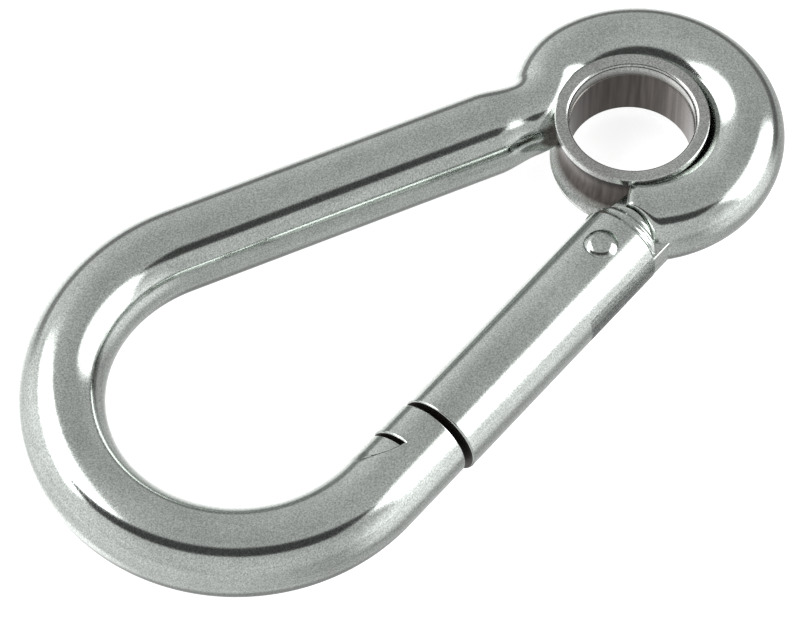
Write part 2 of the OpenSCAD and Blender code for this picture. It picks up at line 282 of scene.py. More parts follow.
def bar_rings():
    """Circles square to the bar's middle line, from the eye round the spine and the bow to the nose. The
    radius grows smoothly from the forged eye's to the bar's, and rolls over a small edge at the nose. Round
    the eye the half that faces the eyelet is a wider ellipse, which fades out along the neck."""
    nose_line = hinge_at + (NOSE_OFFSET - hinge_at @ gate_out_dir) * gate_out_dir
    nose_face = nose_line + (NOSE_AT - hinge_at @ gate_dir) * gate_dir
    spine_taper = spine_start + spine_dir * np.linspace(0, FORGE_TAPER, TAPER_RINGS)[:, None]
    edge = np.linspace(0, math.pi / 2, EDGE_RINGS)
    nose_points = nose_face + gate_dir * (NOSE_EDGE * (1 - np.sin(edge)))[:, None]
    stretches = [
        arc_path(EYE_CENTRE, EYE_R, EYE_FULL_AT, NECK_AT),
        arc_path(neck_centre, NECK_R, NECK_AT, neck_to),
        arc_path(throat_centre, THROAT_R, neck_to - math.pi, angle_of(-spine_out)),
        (spine_taper, np.full(TAPER_RINGS, -SIDE_ANGLE)),
        arc_path(bow_centre, BOW_R, bow_from, bow_split_at),
        arc_path(bow_centre + bow_shift, nose_bow_r, bow_split_at, bow_to),
        (nose_points, np.full(EDGE_RINGS, SIDE_ANGLE + math.pi)),
    ]
    eye, neck, throat, taper, bow, nose_bow, nose = [len(points) for points, _ in stretches]
    grown = ease(np.linspace(0, 1, taper))
    radii = [
        np.full(eye + neck + throat, EYE_BAR_R),
        EYE_BAR_R + (BAR_R - EYE_BAR_R) * grown,
        np.full(bow + nose_bow, BAR_R),
        BAR_R - NOSE_EDGE * (1 - np.cos(edge)),
    ]
    wider = [
        np.full(eye, EYE_WIDER),
        EYE_WIDER * (1 - ease(np.linspace(0, 1, neck))),
        np.zeros(throat + taper + bow + nose_bow + nose),
    ]
    middle = np.concatenate([points for points, _ in stretches])
    heading = np.concatenate([angles for _, angles in stretches])
    radius = np.concatenate(radii)
    wider = np.concatenate(wider)
    keep = np.r_[True, np.linalg.norm(np.diff(middle, axis=0), axis=1) > 1e-6]
    middle, heading, radius, wider = middle[keep], heading[keep], radius[keep], wider[keep]
    around = np.linspace(0, 2 * math.pi, AROUND, endpoint=False)
    out = radius[:, None] * np.cos(around) + wider[:, None] * np.minimum(np.cos(around), 0)
    rings = np.empty((len(middle), AROUND, 3))
    rings[:, :, :2] = middle[:, None, :] + towards(heading - math.pi / 2)[:, None, :] * out[:, :, None]
    rings[:, :, 2] = radius[:, None] * np.sin(around)
    return np.concatenate([eye_end_rings(), rings[1:]])


bar = skin("bar", bar_rings())

# Tang: a flat tongue left standing out of the eye's end. It has a boss round the rivet, a finger that
# lies in the gate's slot, and a cam face. The cam is the involute of a circle, so that its push is even.
TANG_W = 3.4
TANG_OUT = 4.825
TANG_ROOT = 2.5
TANG_ROOT_IN = 3.3
FINGER_LEN = 5.4
FINGER_IN = 2.7
CAM_FACE = 4.36
CAM_LEVER = 2.0
CAM_TURN = math.radians(33)
ROOT_FILLET = 1.2
TANG_EDGE = 0.2
EYE_SIDE_TURN = math.radians(9)
UNDER_SKIN = 0.04
finger_r = (TANG_OUT - FINGER_IN) / 2
eye_in_gate = np.array([(EYE_CENTRE - hinge_at) @ gate_dir, (EYE_CENTRE - hinge_at) @ gate_out_dir])
eye_outer = EYE_R + math.sqrt(EYE_BAR_R**2 - (TANG_W / 2) ** 2) - UNDER_SKIN


def tang_outline():
    """The tang from above: along the eye's outer side, round a fillet, out to the round finger, back down
    the cam's involute, and home along its inner side. It starts and ends deep inside the eye."""
    fillet_y = TANG_OUT + ROOT_FILLET
    fillet_x = eye_in_gate[0] + math.sqrt((eye_outer + ROOT_FILLET) ** 2 - (fillet_y - eye_in_gate[1]) ** 2)
    fillet = np.array([fillet_x, fillet_y])
    touch = angle_of(fillet - eye_in_gate)
    eye_side = eye_in_gate + eye_outer * towards(np.linspace(touch + EYE_SIDE_TURN, touch, 8))
    inside_eye = eye_in_gate + EYE_R * towards(touch + EYE_SIDE_TURN)
    bend = fillet + ROOT_FILLET * towards(np.linspace(touch - math.pi, -math.pi / 2, 10))
    finger = [FINGER_LEN - finger_r, TANG_OUT - finger_r]
    tip = finger + finger_r * towards(np.linspace(math.pi / 2, -math.pi / 2, 20))
    turn = np.linspace(0, CAM_TURN, 12)
    reach = CAM_FACE + CAM_LEVER * turn
    cam = np.c_[
        reach * np.cos(turn) - CAM_LEVER * np.sin(turn),
        -reach * np.sin(turn) - CAM_LEVER * np.cos(turn),
    ]
    home = [[0, cam[-1, 1]], [-shoulder_r - TANG_ROOT, -TANG_ROOT_IN]]
    return np.concatenate([[inside_eye], eye_side, bend[1:], tip, [[CAM_FACE, FINGER_IN]], cam, home])


def round_edged_slab(name, outline, half, edge, place):
    """A slab between two heights whose edges are rounded: near its faces the outline shrinks by a quarter
    circle, each point moving square to the outline."""
    outline = np.asarray(outline, float)
    after, before = np.roll(outline, -1, 0), np.roll(outline, 1, 0)
    way = after - before
    area = (outline[:, 0] * after[:, 1] - outline[:, 1] * after[:, 0]).sum()
    inwards = np.c_[-way[:, 1], way[:, 0]] / np.linalg.norm(way, axis=1)[:, None] * math.copysign(1, area)
    turn = np.linspace(0, math.pi / 2, 7)
    rings = []
    for t in turn:
        height = half - edge * (1 - math.sin(t))
        rings.append(np.c_[outline + inwards * edge * (1 - math.cos(t)), np.full(len(outline), height)])
    mirrored = [ring * [1, 1, -1] for ring in rings[::-1]]
    piece = skin(name, np.stack(mirrored + rings))
    piece.data.transform(place)
    return piece


carve(bar, round_edged_slab("tang", tang_outline(), TANG_W / 2, TANG_EDGE, gate_place), "UNION")

# Seat of the eyelet: a ring turned into the eye's inner side, with a ridge for the eyelet's groove
eyelet_low, eyelet_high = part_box("eyelet")
bore_r = frame["record"]["mounts"][0]["dims"]["r_mm"]
bottom_flange_r = eyelet_high.x / MM
top_rim = eyelet_high.z / MM
bottom_rim = -eyelet_low.z / MM
TOP_FLANGE_R = 9.1
WAIST_WALL = 0.8
GROOVE_R = 6.0
EYELET_GAP = 0.03


def groove_wall(gap, steps):
    """Radii and heights of the eyelet's round groove, bottom to top, from its lower flange to its upper
    one. The seat's ridge is the same curve, with a gap all along it."""
    middle = bore_r + WAIST_WALL + GROOVE_R
    radius = GROOVE_R - gap
    low = -math.acos((middle - bottom_flange_r - gap) / radius)
    high = math.acos((middle - TOP_FLANGE_R - gap) / radius)
    angle = np.linspace(low, high, steps)
    return np.c_[middle - radius * np.cos(angle), radius * np.sin(angle)]


def turn_about_z(name, profile, around, place=None):
    """A lathe's work: spins a closed outline of (radius, height) points about the Z axis."""
    angle = np.linspace(0, 2 * math.pi, around, endpoint=False)
    profile = np.asarray(profile, float)
    across = towards(angle)[None, :, :] * profile[:, 0][:, None, None]
    heights = np.broadcast_to(profile[:, 1][:, None, None], (len(profile), around, 1))
    points = np.concatenate([across, heights], axis=2)
    number = np.arange(len(profile) * around).reshape(len(profile), around)
    ahead = np.roll(number, -1, 0)
    walls = np.stack([number, ahead, np.roll(ahead, -1, 1), np.roll(number, -1, 1)], axis=-1)
    piece = new_piece(name, points.reshape(-1, 3), walls.reshape(-1, 4).tolist())
    if place:
        piece.data.transform(place)
    return piece


seat_wall = groove_wall(EYELET_GAP, 40)
seat_out = bore_r + EYELET_GAP
seat = np.concatenate([
    [[0, -2 * BAR_R], [seat_out, -2 * BAR_R], [seat_out, -bottom_rim - EYELET_GAP]],
    [[bottom_flange_r + EYELET_GAP, -bottom_rim - EYELET_GAP]],
    seat_wall,
    [[TOP_FLANGE_R + EYELET_GAP, top_rim + EYELET_GAP], [seat_out, top_rim + EYELET_GAP]],
    [[seat_out, 2 * BAR_R], [0, 2 * BAR_R]],
])
carve(bar, turn_about_z("seat", seat, 160))

# Latch: a slot that the gate's tongue swings into, and a pocket behind it that holds the hooked head.
# Their edges are broken with a small round. On the pocket it is full along the shoulder and at the inner
# end of the curved floor, and is next to nothing along the rest of the floor.
GATE_R = 5.125
GATE_OUT = 0.4
LATCH_BACK = 4.6
POCKET_R = 7.4
POCKET_LEAD = 1.65
NOSE_SLOT_W = 3.2
EDGE = 0.16
SHOULDER_BREAK = 0.3
FLOOR_BREAK = 0.05
BREAK_RUN = 1.5
BREAK_PAST = 0.5
CUTTER_PAST = 1.0
CUTTER_FLARE = 0.5
LEAST_REACH = 0.02
HAIR = 0.01
nose_face_x = NOSE_AT - hinge_at @ gate_dir
latch_x = nose_face_x + LATCH_BACK
pocket_centre = np.array([latch_x - POCKET_LEAD, -GATE_OUT - math.sqrt(POCKET_R**2 - POCKET_LEAD**2)])


def round_edged_cut(name, outline, across, bar_r, edge, sides, place):
    """A cutter with flared lips that follow a round bar. Its outline is [along, across] and it cuts the
    bar from side to side. Near the bar's skin the outline grows by a quarter circle, which rounds the edge;
    the size of that edge may be one number, or one for each point of the outline."""
    outline = np.asarray(outline, float)
    edge = np.broadcast_to(edge, len(outline))[:, None]
    before, after = np.roll(outline, 1, 0), np.roll(outline, -1, 0)
    way = after - before
    outwards = np.c_[way[:, 1], -way[:, 0]] / np.linalg.norm(way, axis=1)[:, None]
    area = (outline[:, 0] * after[:, 1] - outline[:, 1] * after[:, 0]).sum()
    outwards *= math.copysign(1, area)
    turn = np.linspace(0, math.pi / 2, 5)
    steps = [(edge * (1 - math.sin(t)), edge * (1 - math.cos(t))) for t in turn]
    steps.append((-CUTTER_PAST, edge + CUTTER_FLARE))
    rings = []
    for depth, grown in steps:
        points = outline + outwards * grown
        reach = np.sqrt(np.maximum((bar_r - depth) ** 2 - (points[:, 1:] - across) ** 2, LEAST_REACH**2))
        rings.append(np.hstack([points, reach]))
    mirrored = [ring * [1, 1, -1] for ring in rings[::-1]]
    if sides == "one":
        mirrored = [ring * [1, 1, 0] for ring in rings[:1]]
    piece = skin(name, np.stack(mirrored + rings))
    piece.data.transform(place)
    return piece


def rectangle(x0, x1, y0, y1, step=0.5):
    """A rectangle's outline with points a small step apart."""
    xs = np.linspace(x0, x1, max(2, math.ceil((x1 - x0) / step)))
    ys = np.linspace(y0, y1, max(2, math.ceil((y1 - y0) / step)))
    return np.concatenate([
        np.c_[xs[:-1], np.full(len(xs) - 1, y0)],
        np.c_[np.full(len(ys) - 1, x1), ys[:-1]],
        np.c_[xs[::-1][:-1], np.full(len(xs) - 1, y1)],
        np.c_[np.full(len(ys) - 1, x0), ys[::-1][:-1]],
    ])


def pocket_outline(shoulder, radius):
    """The pocket from above: the part of a circle that lies behind the shoulder."""
    half = math.acos((shoulder - pocket_centre[0]) / radius)
    floor = pocket_centre + radius * towards(np.linspace(half, -half, 90))
    wall = np.linspace(floor[-1], floor[0], 60)[1:-1]
    return np.concatenate([floor, wall])


# The slot is cut from the inside of the hook, so its outline lies in the plane of the gate's axis and Z
look_in = gate_place @ Matrix.Translation((0, -GATE_OUT, 0)) @ Matrix.Rotation(math.pi / 2, 4, "X")
slot = rectangle(nose_face_x - 1, latch_x + 1, -NOSE_SLOT_W / 2, NOSE_SLOT_W / 2)
carve(bar, round_edged_cut("nose slot", slot, 0, BAR_R, EDGE, "one", look_in))
pocket = pocket_outline(latch_x, POCKET_R)
inner_end = np.clip(-pocket[:, 1] / BREAK_RUN - 1, 0, 1) * (pocket[:, 0] > latch_x + BREAK_PAST)
pocket_edge = FLOOR_BREAK + (SHOULDER_BREAK - FLOOR_BREAK) * inner_end
pocket_edge[pocket[:, 0] < latch_x + HAIR] = SHOULDER_BREAK
carve(bar, round_edged_cut("latch pocket", pocket, -GATE_OUT, BAR_R, pocket_edge, "both", gate_place))

RIVET_HOLE_R = 2.05
hole = [[0, -TANG_W], [RIVET_HOLE_R, -TANG_W], [RIVET_HOLE_R, TANG_W], [0, TANG_W]]
carve(bar, turn_about_z("rivet hole", hole, 96, gate_place))


def linear(code):
    """An sRGB hex colour as the linear red, green, blue and alpha that a shader takes."""
    parts = [int(code[i:i + 2], 16) / 255 for i in (1, 3, 5)]
    return (*[c / 12.92 if c <= 0.04045 else ((c + 0.055) / 1.055) ** 2.4 for c in parts], 1)


def add(tree, kind, links=(), **settings):
    """Adds a node. Settings name its properties or its inputs, and links are (input, socket) pairs."""
    node = tree.nodes.new(kind)
    for name, value in settings.items():
        if hasattr(node, name):
            setattr(node, name, value)
        else:
            node.inputs[name.replace("_", " ")].default_value = value
    for name, socket in links:
        tree.links.new(socket, node.inputs[name])
    return node


def new_material(name):
    """A node material with no nodes yet, and its node tree."""
    material = bpy.data.materials.new(name)
    material.use_nodes = True
    material.node_tree.nodes.clear()
    return material, material.node_tree


# Every polished piece has these in common: the size of its slow change of tone, the width of its drawn
# lines and how they are stretched in the plane of the hook, how far the grain and the lines change the
# tone, and the grain's depth in millimetres
TONE_MM = 6
LINE_MM = 0.7
LINE_STRETCH = (0.05, 0.05, 1)
GRAIN_TONE = (0.66, 1.38)
LINE_TONE = (0.9, 1.1)
GRAIN_DEPTH = 0.004


def polished_steel(name, colour, shadow, rough, grain_mm, dent_mm, dent):
    """Polished stainless steel. Polishing leaves a fine grain in the tone and the gloss, which is drawn as
    coarse as it needs to be to show, slow waves where the bar was bent, faint lines along the piece, and a
    faint change of tone over a few millimetres."""
    material, tree = new_material(name)
    place = add(tree, "ShaderNodeTexCoord").outputs["Object"]
    slow = add(tree, "ShaderNodeTexNoise", [("Vector", place)], Scale=1 / (TONE_MM * MM), Detail=3.0)
    fine = add(tree, "ShaderNodeTexNoise", [("Vector", place)], Scale=1 / (grain_mm * MM), Detail=4.0)
    wave = add(tree, "ShaderNodeTexNoise", [("Vector", place)], Scale=1 / (dent_mm * MM), Detail=1.0)
    tone = add(tree, "ShaderNodeValToRGB", [("Fac", slow.outputs["Fac"])])
    tone.color_ramp.elements[0].position = 0.35
    tone.color_ramp.elements[1].position = 0.65
    tone.color_ramp.elements[0].color = linear(shadow)
    tone.color_ramp.elements[1].color = linear(colour)
    lengthwise = add(tree, "ShaderNodeVectorMath", [(0, place)], operation="MULTIPLY")
    lengthwise.inputs[1].default_value = LINE_STRETCH
    drawn = add(
        tree, "ShaderNodeTexNoise", [("Vector", lengthwise.outputs["Vector"])],
        Scale=1 / (LINE_MM * MM), Detail=4.0,
    )
    speckle = add(
        tree, "ShaderNodeMapRange", [("Value", fine.outputs["Fac"])],
        From_Min=0.3, From_Max=0.7, To_Min=GRAIN_TONE[0], To_Max=GRAIN_TONE[1],
    )
    lines = add(
        tree, "ShaderNodeMapRange", [("Value", drawn.outputs["Fac"])],
        From_Min=0.3, From_Max=0.7, To_Min=LINE_TONE[0], To_Max=LINE_TONE[1],
    )
    marks = add(
        tree, "ShaderNodeMath", [(0, speckle.outputs["Result"]), (1, lines.outputs["Result"])],
        operation="MULTIPLY",
    )
    worn = add(
        tree, "ShaderNodeMixRGB", [("Color1", tone.outputs["Color"]), ("Color2", marks.outputs[0])],
        blend_type="MULTIPLY", Fac=1.0,
    )
    gloss = add(
        tree, "ShaderNodeMapRange", [("Value", fine.outputs["Fac"])],
        To_Min=rough * 0.75, To_Max=rough * 1.25,
    )
    waves = add(tree, "ShaderNodeBump", [("Height", wave.outputs["Fac"])], Strength=1.0, Distance=dent * MM)
    grain = add(
        tree, "ShaderNodeBump", [("Height", fine.outputs["Fac"]), ("Normal", waves.outputs["Normal"])],
        Strength=0.5, Distance=GRAIN_DEPTH * MM,
    )
    metal = add(
        tree, "ShaderNodeBsdfPrincipled",
        [
            ("Base Color", worn.outputs["Color"]), ("Roughness", gloss.outputs["Result"]),
            ("Normal", grain.outputs["Normal"]),
        ],
        Metallic=1.0,
    )
    add(tree, "ShaderNodeOutputMaterial", [("Surface", metal.outputs["BSDF"])])
    return material


def dull_metal(name, colour, rough):
    """Bare steel as the saw or the mill left it, without gloss. Its dark colour is partly the sawn finish
    and partly painted shade for the gaps and slots that it is put in.
    """
    material, tree = new_material(name)
    metal = add(tree, "ShaderNodeBsdfPrincipled", Base_Color=linear(colour), Roughness=rough, Metallic=1.0)
    add(tree, "ShaderNodeOutputMaterial", [("Surface", metal.outputs["BSDF"])])
    return material


# A face counts as square to the gate, or as level, from these cosines up
SQUARE_FROM = 0.95
LEVEL_FROM = 0.99


def dull_and_shade_faces(piece, material, near, far, slot_half):
    """Gives a material to a piece's cut faces on the gate's side of the hook: those that lie square to the
    gate between two distances along it from the rivet, and the flat walls of a slot of this half width.
    These faces lie in gaps and slots, and the material's dark colour paints the shade in them."""
    mesh = piece.data
    mesh.materials.append(material)
    normal = np.empty((len(mesh.polygons), 3), np.float32)
    centre = np.empty_like(normal)
    mesh.polygons.foreach_get("normal", normal.ravel())
    mesh.polygons.foreach_get("center", centre.ravel())
    from_hinge = centre[:, :2] / MM - hinge_at
    beyond = from_hinge @ gate_dir
    square_on = (np.abs(normal[:, :2] @ gate_dir) > SQUARE_FROM) & (near < beyond) & (beyond < far)
    wall = (np.abs(normal[:, 2]) > LEVEL_FROM) & (np.abs(centre[:, 2]) / MM < slot_half)
    cut = (from_hinge @ gate_out_dir > -2 * BAR_R) & (wall | square_on)
    mesh.polygons.foreach_set("material_index", cut.astype(np.int32) * (len(mesh.materials) - 1))


# Tumble polished 316 stainless: a bright mirror with a slight haze and a hint of cool green
bar_steel = polished_steel("tumble polished stainless", "#C6CBC7", "#BEC3BF", 0.12, 0.18, 5, 0.004)
finish_metal(bar, bar_steel, "hook", "polished_bar", "body")
# Cut faces in the nose gap, the latch and the slots: dull sawn steel, painted dark as the shade in those
# gaps
sawn_and_shaded_steel = dull_metal("sawn stainless", "#55524F", 0.5)
dull_and_shade_faces(bar, sawn_and_shaded_steel, nose_face_x - HAIR, latch_x + HAIR, 0)

# ---------------------------------------------------------------------------------------------
# Eyelet
# A spool turned from stainless tube, closed into the eye so that it stays in and can turn. Its bore
# is left as drawn, with a polished band below its upper lip, and its rims are faced flat. Its bore is
# painted darker, partly for the drawn finish and partly as painted shade, and its groove is darkened
# with painted shade.
# ---------------------------------------------------------------------------------------------
LIP_R = 0.55
RIM_EDGE = 0.12
LIP_BAND = 1.9
LIP_STEP = 0.12
BORE_ENDS = (0.02, 0.08)
GROOVE_ENDS = (2.2, 3.4)
MARK_MM = 0.6
MARK_STRETCH = (1, 1, 0.06)
DULL_HAZE = 0.1
lip = np.linspace(0, math.pi / 2, 10)
lip_round = np.c_[bore_r + LIP_STEP + LIP_R * (1 - np.sin(lip)), top_rim - LIP_R * (1 - np.cos(lip))]
lip_foot = [[bore_r + LIP_STEP, top_rim - LIP_BAND + LIP_STEP], [bore_r, top_rim - LIP_BAND]]
top_lip = np.concatenate([lip_round, lip_foot])
bottom_lip = lip_round[::-1] * [1, -1] + [-LIP_STEP, top_rim - bottom_rim]
spool = np.concatenate([
    bottom_lip,
    [[bottom_flange_r - RIM_EDGE, -bottom_rim], [bottom_flange_r, -bottom_rim + RIM_EDGE]],
    groove_wall(0, 40),
    [[TOP_FLANGE_R, top_rim - RIM_EDGE], [TOP_FLANGE_R - RIM_EDGE, top_rim]],
    top_lip,
])
eyelet = turn_about_z("eyelet_spool", spool, 192)
eyelet_steel = polished_steel("turned stainless", "#B9BCB9", "#B0B1AE", 0.2, 0.2, 4, 0.002)

# The bore and the groove are duller than the rims, with faint marks that run along them. They are also
# painted darker: in the bore this is partly the drawn finish and partly painted shade, and in the groove it
# is painted shade, the dark that falls between the flanges under the eye bar.
tree = eyelet_steel.node_tree
metal = tree.nodes["Principled BSDF"]
place = tree.nodes["Texture Coordinate"].outputs["Object"]
flat = add(tree, "ShaderNodeVectorMath", [(0, place)], operation="MULTIPLY")
flat.inputs[1].default_value = (1, 1, 0)
from_axis = add(tree, "ShaderNodeVectorMath", [(0, flat.outputs["Vector"])], operation="LENGTH")
height = add(tree, "ShaderNodeSeparateXYZ", [("Vector", place)]).outputs["Z"]
in_bore = add(
    tree, "ShaderNodeMapRange", [("Value", from_axis.outputs["Value"])],
    From_Min=(bore_r + BORE_ENDS[0]) * MM, From_Max=(bore_r + BORE_ENDS[1]) * MM, To_Min=1.0, To_Max=0.0,
).outputs["Result"]
off_middle = add(tree, "ShaderNodeMath", [(0, height)], operation="ABSOLUTE").outputs[0]
# Where painted shade darkens the groove and the waist between the flanges
in_groove = add(
    tree, "ShaderNodeMapRange", [("Value", off_middle)],
    From_Min=GROOVE_ENDS[0] * MM, From_Max=GROOVE_ENDS[1] * MM, To_Min=1.0, To_Max=0.0,
).outputs["Result"]
dull_and_shaded_area = add(tree, "ShaderNodeMath", [(0, in_bore), (1, in_groove)], operation="MAXIMUM").outputs[0]
drawn = add(tree, "ShaderNodeVectorMath", [(0, place)], operation="MULTIPLY")
drawn.inputs[1].default_value = MARK_STRETCH
marks = add(
    tree, "ShaderNodeTexNoise", [("Vector", drawn.outputs["Vector"])],
    Scale=1 / (MARK_MM * MM), Detail=3.0,
)
# Dark colours of the bore's marks: the drawn finish's tone with painted shade in it
shaded_mark_tone = add(tree, "ShaderNodeValToRGB", [("Fac", marks.outputs["Fac"])])
shaded_mark_tone.color_ramp.elements[0].position = 0.3
shaded_mark_tone.color_ramp.elements[1].position = 0.7
shaded_mark_tone.color_ramp.elements[0].color = linear("#4C4744")
shaded_mark_tone.color_ramp.elements[1].color = linear("#69635F")
rim_tone = metal.inputs["Base Color"].links[0].from_socket
# Mixes in the dark tone: the dull drawn finish plus painted shade in the bore, painted shade in the groove
dull_and_shaded_tone = add(
    tree, "ShaderNodeMixRGB",
    [("Fac", dull_and_shaded_area), ("Color1", rim_tone), ("Color2", shaded_mark_tone.outputs["Color"])],
)
tree.links.new(dull_and_shaded_tone.outputs["Color"], metal.inputs["Base Color"])
rim_gloss = metal.inputs["Roughness"].links[0].from_socket
haze = add(tree, "ShaderNodeMath", [(0, dull_and_shaded_area), (2, rim_gloss)], operation="MULTIPLY_ADD")
haze.inputs[1].default_value = DULL_HAZE
tree.links.new(haze.outputs[0], metal.inputs["Roughness"])
finish_metal(eyelet, eyelet_steel, "hook", "turned_eyelet", "eyelet")

# ---------------------------------------------------------------------------------------------
# Gate
# Turned from 10.25 mm bar: a spring bore from the hinge end, a fork slot for the tang, a bevel with
# coarse turning marks, and a milled tongue with a hooked head at the other end.
# ---------------------------------------------------------------------------------------------
NOSE_GAP = 0.8
BEVEL_LEN = 2.5
BEVEL_DEPTH = 0.75
BEVEL_MARKS = 2
MARK_DEPTH = 0.2
HEEL_SPARE = 1.0
GATE_CHAMFER = 0.25
SPRING_BORE_R = 2.6
SPRING_BORE_LEN = 21.0
SLOT_W = 4.0
SLOT_LEN = 7.6
RIVET_R = 2.0
gate_end_x = nose_face_x - NOSE_GAP
on_axis = gate_place @ Matrix.Rotation(math.pi / 2, 4, "Y")


def gate_profile():
    """Radius and distance along the gate's axis: bevel with scalloped turning marks, plain barrel, small
    rounded chamfer, flat end, and back through the blind spring bore."""
    share = np.linspace(-HEEL_SPARE / BEVEL_LEN, 1, 16 * BEVEL_MARKS + 1)
    scallop = MARK_DEPTH * np.abs(np.sin(share * BEVEL_MARKS * math.pi))
    bevel = np.c_[GATE_R - BEVEL_DEPTH * (1 - share) - scallop, -HEEL_LEN + BEVEL_LEN * share]
    turn = np.linspace(0, math.pi / 2, 6)
    chamfer = np.c_[
        GATE_R - GATE_CHAMFER * (1 - np.cos(turn)),
        gate_end_x - GATE_CHAMFER * (1 - np.sin(turn)),
    ]
    bore = [[0, gate_end_x], [0, SPRING_BORE_LEN], [SPRING_BORE_R, SPRING_BORE_LEN]]
    bore.append([SPRING_BORE_R, -HEEL_LEN - HEEL_SPARE])
    return np.concatenate([bevel, chamfer, bore])


gate = turn_about_z("gate_barrel", gate_profile(), 160, on_axis)

TONGUE_SIDE_GAP = 0.25
TONGUE_SUNK = 0.6
LATCH_GAP = 0.6
POCKET_GAP = 0.04
SUNK = 0.3
tongue_w = NOSE_SLOT_W - 2 * TONGUE_SIDE_GAP
head_x = latch_x + LATCH_GAP
tongue_y = -GATE_OUT - np.array([BAR_R - TONGUE_SUNK, POCKET_GAP])
tongue = rectangle(gate_end_x - SUNK, head_x + SUNK, *tongue_y, step=head_x)
head_end = head_x + POCKET_R
head_disc = [
    [0, head_x], [BAR_R - EDGE / 2, head_x], [BAR_R, head_x + EDGE / 2],
    [BAR_R, head_end], [0, head_end],
]
head_axis = gate_place @ Matrix.Translation((0, -GATE_OUT, 0)) @ Matrix.Rotation(math.pi / 2, 4, "Y")
head = turn_about_z("hooked head", head_disc, 128, head_axis)
head_plan = pocket_outline(head_x - HAIR, POCKET_R - POCKET_GAP)
carve(head, prism("head plan", head_plan, -2 * BAR_R, 2 * BAR_R, gate_place), "INTERSECT")
carve(head, prism("tongue", tongue, -tongue_w / 2, tongue_w / 2, gate_place), "UNION")
carve(gate, head, "UNION")

fork_side = gate_place @ Matrix.Rotation(math.pi / 2, 4, "X")
fork = rectangle(-HEEL_LEN - 2 * HEEL_SPARE, SLOT_LEN, -SLOT_W / 2, SLOT_W / 2)
carve(gate, round_edged_cut("fork slot", fork, 0, GATE_R, EDGE, "both", fork_side))

# The hinge end is rounded to an arc about the rivet
turn = np.linspace(math.pi / 2, 3 * math.pi / 2, 90)
past_heel = -HEEL_LEN - 2 * HEEL_SPARE
clear = 2 * GATE_R
box = [[0, -clear], [past_heel, -clear], [past_heel, clear], [0, clear]]
relief = np.concatenate([HEEL_LEN * towards(turn), box])
carve(gate, prism("heel relief", relief, -clear, clear, gate_place))
hole = [[0, -clear], [RIVET_R + HAIR, -clear], [RIVET_R + HAIR, clear], [0, clear]]
carve(gate, turn_about_z("rivet hole", hole, 96, gate_place))
gate_steel = polished_steel("polished turned stainless", "#C8CDC9", "#C1C6C2", 0.11, 0.18, 7, 0.003)
finish_metal(gate, gate_steel, "gate", "polished_gate", "gate")
# The gate's cut end, head front and slot walls take the same sawn steel, with painted shade in the gaps
dull_and_shade_faces(gate, sawn_and_shaded_steel, SLOT_LEN - HAIR, head_x + HAIR, SLOT_W / 2 + HAIR)

# ---------------------------------------------------------------------------------------------
# Hinge rivet
# A 4 mm stainless pin, peened over at both ends to low heads with a flat top and a sloping edge.
# ---------------------------------------------------------------------------------------------
rivet_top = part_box("hinge_rivet")[1].z / MM
RIVET_FLAT_R = 1.05
RIVET_EDGE = 0.6
CROWN = 1.6


def rivet_profile():
    """Radius and height: the pin's side, then a crowned slope up to the flat, the same at both ends."""
    share = np.linspace(0, 1, 9)
    slope = np.c_[
        RIVET_R + (RIVET_FLAT_R - RIVET_R) * share,
        rivet_top - RIVET_EDGE * (1 - share) ** CROWN,
    ]
    return np.concatenate([[[0, -rivet_top]], slope[::-1] * [1, -1], slope, [[0, rivet_top]]])


rivet = turn_about_z("rivet_pin", rivet_profile(), 96, gate_place)
rivet_steel = polished_steel("peened stainless", "#C5CAC6", "#BABFBB", 0.16, 0.3, 1.5, 0.01)
finish_metal(rivet, rivet_steel, "gate", "rivet_steel", "hinge_rivet")

# ---------------------------------------------------------------------------------------------
# Spring plunger
# A small turned pin inside the gate's bore: a flat head that bears on the tang's cam, and a stem
# that keeps the spring central.
# ---------------------------------------------------------------------------------------------
PLUNGER_R = 2.52
PLUNGER_X = 4.4
PLUNGER_HEAD = 3.5
STEM_R = 1.4
STEM_LEN = 5.0
PIN_EDGE = 0.15
head_back = PLUNGER_X + PLUNGER_HEAD
stem_end = head_back + STEM_LEN
pin = [
    [0, PLUNGER_X], [PLUNGER_R - PIN_EDGE, PLUNGER_X], [PLUNGER_R, PLUNGER_X + PIN_EDGE],
    [PLUNGER_R, head_back - PIN_EDGE], [PLUNGER_R - PIN_EDGE, head_back], [STEM_R, head_back],
    [STEM_R, stem_end - PIN_EDGE], [STEM_R - PIN_EDGE, stem_end], [0, stem_end],
]
plunger = turn_about_z("plunger_pin", pin, 64, on_axis)
plunger_steel = polished_steel("ground stainless", "#A9A8A4", "#9F9E9A", 0.24, 0.2, 3, 0.001)
finish_metal(plunger, plunger_steel, "plunger", "turned_eyelet", "spring_plunger")

# ---------------------------------------------------------------------------------------------
# Gate spring
# Drawn stainless wire wound into a compression spring, between the plunger and the bore's bottom.
# ---------------------------------------------------------------------------------------------
WIRE_R = 0.3
SPRING_TURNS = 8
SPRING_R = 2.05
SPRING_END_GAP = 0.05


def coil_rings():
    """Circles of wire square to a helix: the middle turns about the gate's axis while it moves along it."""
    turn = np.linspace(0, 2 * math.pi * SPRING_TURNS, 48 * SPRING_TURNS)
    first = head_back + WIRE_R + SPRING_END_GAP
    last = SPRING_BORE_LEN - WIRE_R - SPRING_END_GAP
    along = first + (last - first) * turn / turn[-1]
    around = np.linspace(0, 2 * math.pi, 12, endpoint=False)
    out = SPRING_R + WIRE_R * np.cos(around)
    rings = np.empty((len(turn), 12, 3))
    rings[:, :, 0] = out * np.cos(turn)[:, None]
    rings[:, :, 1] = out * np.sin(turn)[:, None]
    rings[:, :, 2] = along[:, None] + WIRE_R * np.sin(around)
    return rings


spring = skin("spring_wire", coil_rings())
spring.data.transform(on_axis)
wire_steel = polished_steel("drawn spring wire", "#8F8F8C", "#858582", 0.3, 0.1, 2, 0.001)
finish_metal(spring, wire_steel, "gate", "spring_wire", "gate_spring")
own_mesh(spring)

